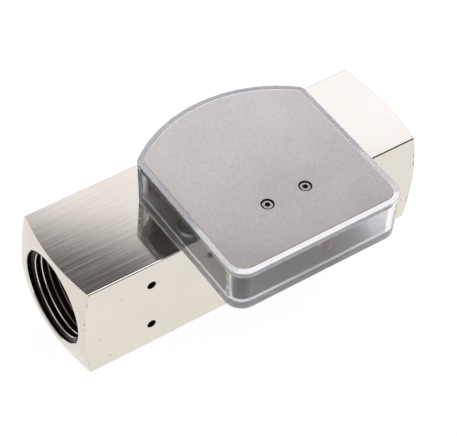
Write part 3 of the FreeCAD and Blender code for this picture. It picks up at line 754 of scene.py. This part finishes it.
class FLOWMETER_OT_port_threads(bpy.types.Operator):
    """Pipe thread wound along the wall of each port"""
    bl_idname = "flow_meter.port_threads"
    bl_label = "Port Threads"

    def execute(self, context):
        settings = context.scene.flow_meter_body
        self.thread("inlet_port_thread", BODY_LOW.x, 1, settings)
        self.thread("outlet_port_thread", BODY_HIGH.x, -1, settings)
        return {"FINISHED"}

    def thread(self, name, mouth_x, inward, settings):
        """One ridge wound inwards, faded in and out at its ends, with its first crests bright and the inner ones
        in painted shade.
        """
        pitch = settings.thread_pitch
        start_x = mouth_x + inward * settings.thread_start
        count = round(THREAD_STEPS_PER_TURN * settings.thread_length / pitch)
        crest_r = PORT_R - settings.thread_height
        shoulder_r = crest_r + 0.2 * MM
        root_r = PORT_R - 0.1 * MM
        sunk_r = PORT_R + 0.15 * MM
        profile = [(-0.48, sunk_r), (-0.47, root_r), (-0.16, shoulder_r), (-0.06, crest_r), (0.08, crest_r),
                   (0.47, root_r), (0.48, sunk_r)]
        crest_sides = ({2, 3}, {3, 4})
        bm = bmesh.new()
        order = bm.verts.layers.int.new("order")
        ring = []
        for index, (share, r) in enumerate(profile):
            ring.append(bm.verts.new((start_x + inward * share * pitch, 0, AXIS_Z + r)))
            ring[-1][order] = index
        edges = [bm.edges.new((ring[i - 1], ring[i])) for i in range(len(ring))]
        wound = bmesh.ops.spin(bm, geom=ring + edges, cent=(start_x, 0, AXIS_Z), axis=(1, 0, 0),
                               dvec=(inward * pitch / THREAD_STEPS_PER_TURN, 0, 0),
                               angle=inward * math.tau * count / THREAD_STEPS_PER_TURN, steps=count)
        for face in bm.faces:
            if {vert[order] for vert in face.verts} in crest_sides:
                # Painted shade: crests past the first turns take the darker crest colour.
                out_of_shade = abs(face.calc_center_median().x - start_x) < BRIGHT_CREST_TURNS * pitch
                face.material_index = 1 if out_of_shade else 2
        cap_ends(bm, ring, wound)
        for index, vert in enumerate(bm.verts):
            step = index // len(profile)
            share = min(1.0, step / THREAD_FADE_STEPS, (count - step) / THREAD_FADE_STEPS)
            side = Vector((0, vert.co.y, vert.co.z - AXIS_Z))
            if side.length < PORT_R:
                side.length = PORT_R - (PORT_R - side.length) * share
                vert.co.y, vert.co.z = side.y, side.z + AXIS_Z
        new_piece(name, bm, ["nickel", "crest", "dull_crest"], "meter_body")


class FLOWMETER_OT_clear_housing(bpy.types.Operator):
    """Clear housing with a misted rim, milky white at its front as painted light"""
    bl_idname = "flow_meter.clear_housing"
    bl_label = "Clear Housing"

    def execute(self, context):
        packed = frame["nodes"]["indicator_housing"].data
        bm = bmesh.new()
        bm.from_mesh(packed)
        kept = bm.loops.layers.float_vector.new("packed_normal")
        for face, source in zip(bm.faces, packed.polygons):
            for loop, corner in zip(face.loops, source.loop_indices):
                loop[kept] = packed.corner_normals[corner].vector
        bmesh.ops.remove_doubles(bm, verts=bm.verts, dist=0.001 * MM)
        for face in bm.faces:
            face.material_index = self.finish_of(face)
        piece = new_piece("clear_housing", bm, ["clear", "frosted", "misted"], "meter_body")
        normals = piece.data.attributes["packed_normal"]
        piece.data.normals_split_custom_set([corner.vector for corner in normals.data])
        piece.data.attributes.remove(piece.data.attributes["packed_normal"])
        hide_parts("indicator_housing")
        return {"FINISHED"}

    def finish_of(self, face):
        """Painted light: milky white on the front of the rim, where the wall carries light up from the floor;
        misted on the rest of it and on the underside; clear elsewhere.
        """
        clear, frosted, misted = range(3)
        level = 0.7
        underside_z = LID_LOW.z - 10 * MM
        rim_z = LID_HIGH.z - 0.3 * MM
        rim_front_y = LID_LOW.y + 1.0 * MM
        middle = face.calc_center_median()
        if face.normal.z < -level and middle.z < underside_z:
            return misted
        if face.normal.z <= level or middle.z <= rim_z:
            return clear
        # Painted light: the rim's front is made milky white.
        return frosted if middle.y < rim_front_y else misted


class FLOWMETER_OT_lid(bpy.types.Operator):
    """Satin metal of the lid and of the plate on the floor"""
    bl_idname = "flow_meter.lid"
    bl_label = "Lid"

    def execute(self, context):
        finish_nodes(["lid_plate"], "satin")
        finish_nodes(["floor_plate"], "grey")
        return {"FINISHED"}


class FLOWMETER_OT_socket_screws(bpy.types.Operator):
    """Knurled socket screws on the lid and on the housing's floor"""
    bl_idname = "flow_meter.socket_screws"
    bl_label = "Socket Screws"

    def execute(self, context):
        settings = context.scene.flow_meter_screw
        self.pair("lid_socket_screws", "lid_screws", LID_SCREW, settings)
        self.pair("housing_socket_screws", "housing_screws", HOUSING_SCREW, settings)
        return {"FINISHED"}

    def pair(self, name, node, sizes, settings):
        """Two screws side by side in X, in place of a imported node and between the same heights."""
        low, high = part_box(node)
        head_r = sizes["head_dia"] / 2
        bm = bmesh.new()
        for x in (low.x + head_r, high.x - head_r):
            self.screw(bm, Vector((x, (low.y + high.y) / 2, 0)), low.z, high.z, sizes, settings)
        piece = new_piece(name, bm, ["screw", "recess"], "meter_body")
        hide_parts(node)

    def screw(self, bm, place, tip_z, top_z, sizes, settings):
        """A ring at the tip, drawn up over the head and down into the socket."""
        head_r = sizes["head_dia"] / 2
        shank_r = sizes["shank_dia"] / 2
        socket = sizes["socket"]
        seat_z = top_z - sizes["head_height"]
        socket_z = top_z - 0.6 * sizes["head_height"]
        edge = settings.edge_round
        rings = [
            (tip_z, shank_r - edge, "round"), (tip_z + edge, shank_r, "round"), (seat_z, shank_r, "round"),
            (seat_z, head_r - edge / 2, "round"), (seat_z + edge / 2, head_r, "knurled"),
            (top_z - edge * 1.5, head_r, "knurled"), (top_z - edge, head_r - edge * 0.3, "round"),
            (top_z - edge * 0.3, head_r - edge * 0.7, "round"), (top_z, head_r - edge * 1.4, "round"),
            (top_z, socket * 0.62, "round"), (top_z - 0.1 * MM, socket, "hexagon"),
            (socket_z, socket, "hexagon"),
        ]
        ring = bmesh.ops.create_circle(bm, segments=settings.flutes * 2, radius=rings[0][1],
                                       matrix=Matrix.Translation((place.x, place.y, tip_z)))
        # Edges stay in order, so that every run splits the faces alike
        edges = list(dict.fromkeys(each for vert in ring["verts"] for each in vert.link_edges))
        bmesh.ops.edgeloop_fill(bm, edges=edges)
        for z, size, shape in rings[1:]:
            drawn = bmesh.ops.extrude_edge_only(bm, edges=edges)["geom"]
            verts = {each for each in drawn if isinstance(each, bmesh.types.BMVert)}
            edges = [each for each in drawn
                     if isinstance(each, bmesh.types.BMEdge) and verts.issuperset(each.verts)]
            self.shape_ring(verts, Vector((place.x, place.y, z)), size, shape, settings)
        bmesh.ops.edgeloop_fill(bm, edges=edges)
        # Painted shade: the socket and the head's rounded edge and side take the near black recess colour,
        # standing in for the shade in the socket and in the gap round the head.
        for face in bm.faces:
            middle = face.calc_center_median() - place
            out = math.hypot(middle.x, middle.y)
            in_socket = out < socket * 0.6 and socket_z - 0.01 * MM < middle.z < top_z - 0.02 * MM
            on_edge = head_r - edge * 1.05 < out < head_r * 1.5 and middle.z > seat_z + edge / 2
            if in_socket or on_edge:
                face.material_index = 1

    def shape_ring(self, verts, centre, size, shape, settings):
        """Moves a ring's corners to their place; size is a radius, or a hexagon's width across the flats."""
        for vert in verts:
            offset = Vector((vert.co.x - centre.x, vert.co.y - centre.y, 0))
            angle = math.atan2(offset.y, offset.x) % math.tau
            offset.length = size
            if shape == "knurled" and round(angle / math.tau * settings.flutes * 2) % 2:
                offset.length = size - settings.flute_depth
            if shape == "hexagon":
                offset.length = size / 2 / math.cos((angle + 1e-6) % (math.tau / 6) - math.tau / 12)
            vert.co = centre + offset


class FLOWMETER_OT_fasteners(bpy.types.Operator):
    """Washers, pillars and the pillars' screws"""
    bl_idname = "flow_meter.fasteners"
    bl_label = "Fasteners"

    def execute(self, context):
        finish_nodes(["housing_washers", "lid_pillars", "pillar_screws"], "screw")
        return {"FINISHED"}


class FLOWMETER_OT_metering_set(bpy.types.Operator):
    """Cone, spiders, ring and nut"""
    bl_idname = "flow_meter.metering_set"
    bl_label = "Metering Set"

    def execute(self, context):
        finish_nodes(["metering_cone", "inlet_spider", "outlet_spider"], "steel")
        finish_nodes(["inlet_retaining_ring", "cone_nut"], "steel")
        return {"FINISHED"}


class FLOWMETER_OT_spring(bpy.types.Operator):
    """Return spring, wound in place of the imported one against the outlet spider"""
    bl_idname = "flow_meter.spring"
    bl_label = "Spring"

    def execute(self, context):
        settings = context.scene.flow_meter_movement
        low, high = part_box("return_spring")
        wire_r = settings.spring_wire / 2
        start = Vector((low.x + wire_r, 0, AXIS_Z))
        count = round(SPRING_STEPS_PER_TURN * settings.spring_turns)
        bm = bmesh.new()
        place = Matrix.Translation((start.x, 0, low.z + wire_r)) @ Matrix.Rotation(math.pi / 2, 4, "X")
        ring = bmesh.ops.create_circle(bm, segments=SPRING_WIRE_SIDES, radius=wire_r, matrix=place)["verts"]
        wound = bmesh.ops.spin(bm, geom=ring + bm.edges[:], cent=start, axis=(1, 0, 0),
                               dvec=((high.x - low.x - 2 * wire_r) / count, 0, 0),
                               angle=math.tau * settings.spring_turns, steps=count)
        for face in bm.faces:
            face.smooth = True
        cap_ends(bm, ring, wound)
        piece = new_piece("coiled_spring", bm, ["steel"], "meter_body")
        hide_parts("return_spring")
        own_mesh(piece)
        return {"FINISHED"}


class FLOWMETER_OT_piston_set(bpy.types.Operator):
    """Piston with its orifice disc and magnet"""
    bl_idname = "flow_meter.piston_set"
    bl_label = "Piston Set"

    def execute(self, context):
        finish_nodes(["piston_sleeve", "orifice_disc", "orifice_retainer", "magnet_retainer"], "brass")
        finish_nodes(["transfer_magnet"], "magnet")
        return {"FINISHED"}


class FLOWMETER_OT_movement(bpy.types.Operator):
    """Pointer on its spindle and bearings"""
    bl_idname = "flow_meter.movement"
    bl_label = "Movement"

    def execute(self, context):
        finish_nodes(["pointer_spindle"], "steel")
        finish_nodes(["lower_bearing", "upper_bearing"], "bronze")
        finish_nodes(["balance_weight"], "brass")
        finish_nodes(["follower_magnet"], "magnet")
        finish_nodes(["pointer"], "red")
        return {"FINISHED"}


class FLOWMETER_OT_scale(bpy.types.Operator):
    """Scale strip with printed lines and numbers"""
    bl_idname = "flow_meter.scale"
    bl_label = "Scale"

    def execute(self, context):
        settings = context.scene.flow_meter_scale
        finish_nodes(["scale_strip"], "white")
        self.lines(settings)
        self.numbers(context, settings)
        return {"FINISHED"}

    def angle(self, share):
        """Direction of a reading from the pivot, from the pointer's rest to the end of its swing."""
        return SCALE_START - SCALE_SWEEP * share

    def lines(self, settings):
        """Long lines at the numbers, middling ones between them and short ones at the fine divisions."""
        bm = bmesh.new()
        each = settings.divisions // settings.numbers
        for step in range(settings.divisions + 1):
            past_number = step % each
            share = 1.0
            if past_number:
                share = MIDDLING_LENGTH if past_number == each // 2 else SHORT_LENGTH
            length = settings.line_length * share
            width = settings.line_width * (1.0 if past_number else BOLD_WIDTH)
            turn = Matrix.Translation(PIVOT) @ Matrix.Rotation(self.angle(step / settings.divisions), 4, "Z")
            place = Matrix.Translation((SCALE_R, 0, SCALE_HIGH.z - settings.line_margin - length / 2))
            size = Matrix.Diagonal((settings.ink_height * 2, width, length, 1.0))
            bmesh.ops.create_cube(bm, size=1.0, matrix=turn @ place @ size)
        new_piece("scale_lines", bm, ["ink"], "meter_body")

    def numbers(self, context, settings):
        """Numbers under the long lines, bent round the strip and read from behind the meter."""
        bm = bmesh.new()
        for step in range(settings.numbers + 1):
            curve = bpy.data.curves.new("number", "FONT")
            curve.body = str(round(settings.full_reading * step / settings.numbers))
            curve.size = settings.number_size
            curve.align_x = "CENTER"
            curve.extrude = settings.ink_height
            text = bpy.data.objects.new("number", curve)
            context.scene.collection.objects.link(text)
            mesh = bpy.data.meshes.new_from_object(text.evaluated_get(context.evaluated_depsgraph_get()))
            bpy.data.objects.remove(text)
            bpy.data.curves.remove(curve)
            known = set(bm.verts)
            bm.from_mesh(mesh)
            bpy.data.meshes.remove(mesh)
            middle = self.angle(step / settings.numbers)
            for vert in set(bm.verts) - known:
                angle = middle + vert.co.x / SCALE_R
                r = SCALE_R + vert.co.z
                vert.co = Vector((PIVOT.x + r * math.cos(angle), PIVOT.y + r * math.sin(angle),
                                  SCALE_HIGH.z - settings.number_drop + vert.co.y))
        bmesh.ops.remove_doubles(bm, verts=bm.verts, dist=0.0001 * MM)
        new_piece("scale_numbers", bm, ["ink"], "meter_body")


class FLOWMETER_PT_panel(bpy.types.Panel):
    """Lists the steps that dress the flow meter"""
    bl_idname = "FLOWMETER_PT_panel"
    bl_label = "Flow Meter"
    bl_space_type = "VIEW_3D"
    bl_region_type = "UI"
    bl_category = "Flow Meter"

    def draw(self, context):
        for step in OPERATORS:
            self.layout.operator(step.bl_idname)


SETTINGS = {
    "flow_meter_stage": StageSettings,
    "flow_meter_body": BodySettings,
    "flow_meter_housing": HousingSettings,
    "flow_meter_lid": LidSettings,
    "flow_meter_screw": ScrewSettings,
    "flow_meter_scale": ScaleSettings,
    "flow_meter_movement": MovementSettings,
}
OPERATORS = (
    FLOWMETER_OT_stage, FLOWMETER_OT_plated_body, FLOWMETER_OT_port_threads, FLOWMETER_OT_clear_housing,
    FLOWMETER_OT_lid, FLOWMETER_OT_socket_screws, FLOWMETER_OT_fasteners, FLOWMETER_OT_metering_set,
    FLOWMETER_OT_spring, FLOWMETER_OT_piston_set, FLOWMETER_OT_movement, FLOWMETER_OT_scale,
)


def register():
    for name, settings in SETTINGS.items():
        bpy.utils.register_class(settings)
        setattr(bpy.types.Scene, name, PointerProperty(type=settings))
    for step in OPERATORS:
        bpy.utils.register_class(step)
    bpy.utils.register_class(FLOWMETER_PT_panel)


def unregister():
    bpy.utils.unregister_class(FLOWMETER_PT_panel)
    for step in reversed(OPERATORS):
        bpy.utils.unregister_class(step)
    for name, settings in reversed(SETTINGS.items()):
        delattr(bpy.types.Scene, name)
        bpy.utils.unregister_class(settings)


def main():
    register()
    bpy.ops.flow_meter.stage()
    bpy.ops.flow_meter.plated_body()
    bpy.ops.flow_meter.port_threads()
    bpy.ops.flow_meter.clear_housing()
    bpy.ops.flow_meter.lid()
    bpy.ops.flow_meter.socket_screws()
    bpy.ops.flow_meter.fasteners()
    bpy.ops.flow_meter.metering_set()
    bpy.ops.flow_meter.spring()
    bpy.ops.flow_meter.piston_set()
    bpy.ops.flow_meter.movement()
    bpy.ops.flow_meter.scale()


if __name__ == "__main__":
    main()
